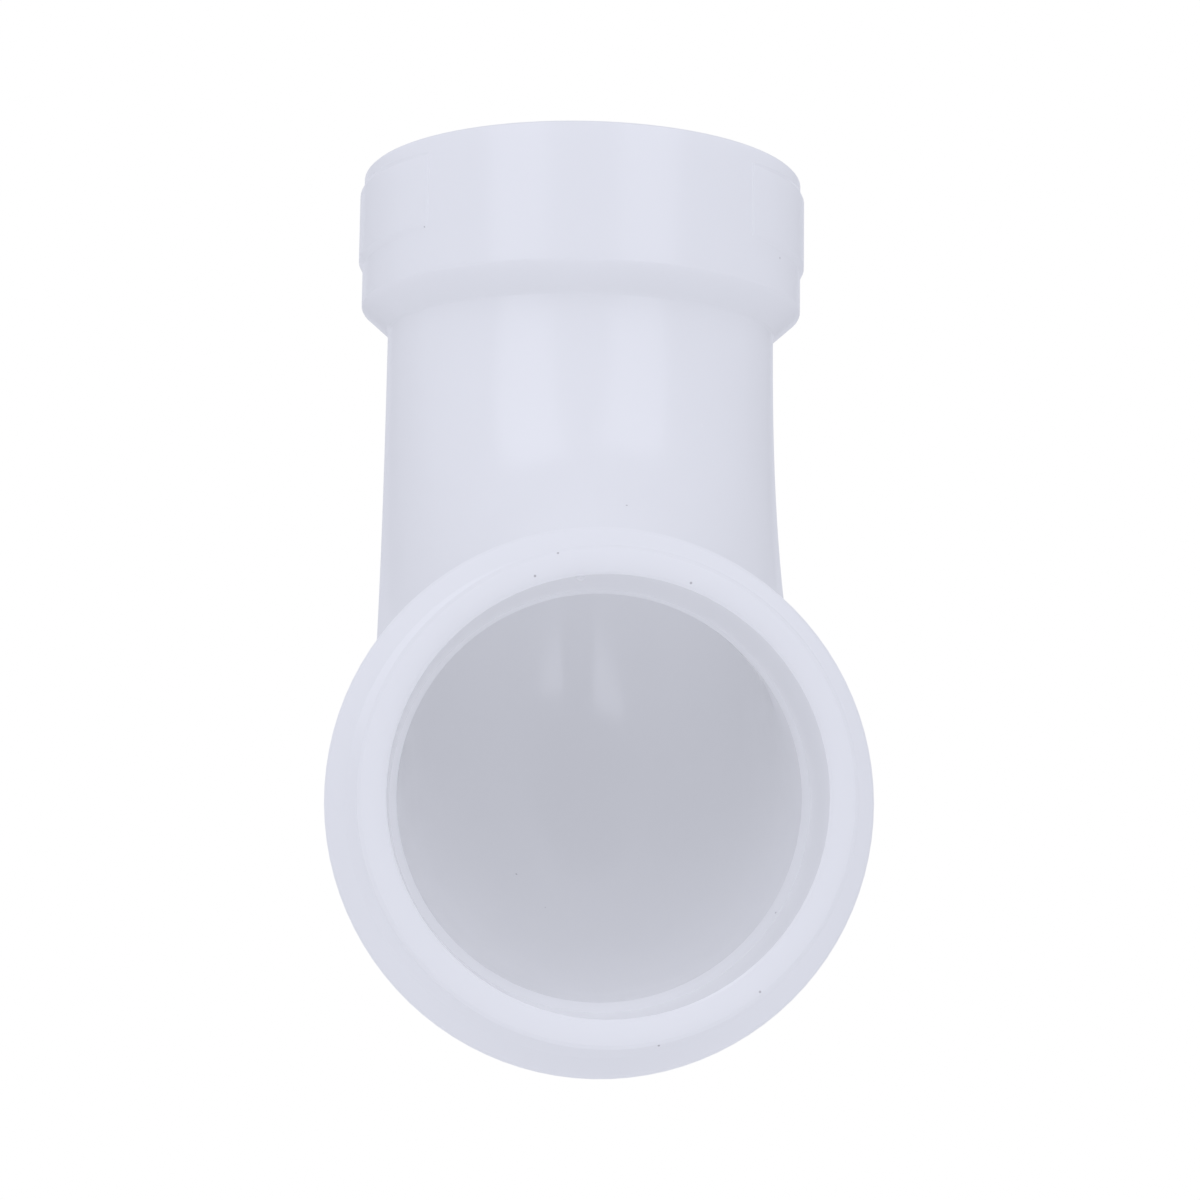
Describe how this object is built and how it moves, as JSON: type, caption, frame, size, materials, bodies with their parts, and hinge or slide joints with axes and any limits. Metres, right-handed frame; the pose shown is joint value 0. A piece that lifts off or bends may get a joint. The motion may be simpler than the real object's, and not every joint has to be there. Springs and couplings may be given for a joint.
{
  "type": "street elbow",
  "caption": "Long-sweep 90 degree drain pipe elbow in white PVC, with a socket hub at one end and a collared spigot at the other.",
  "frame": {"origin": "centre of the seat inside the hub, the ledge where the end of the pipe stops", "axes": "+Z along the hub's axis and out of its mouth, -Y along the street end's axis and out of the spigot, X across the fitting, which is the same on both sides of X = 0"},
  "size_m": [0.0696, 0.1167, 0.1333],
  "materials": {
    "white_pvc": "satin, as moulded, white with a slight cool tint"
  },
  "bodies": {
    "root": {"street_elbow": "white_pvc"}
  },
  "joints": []
}
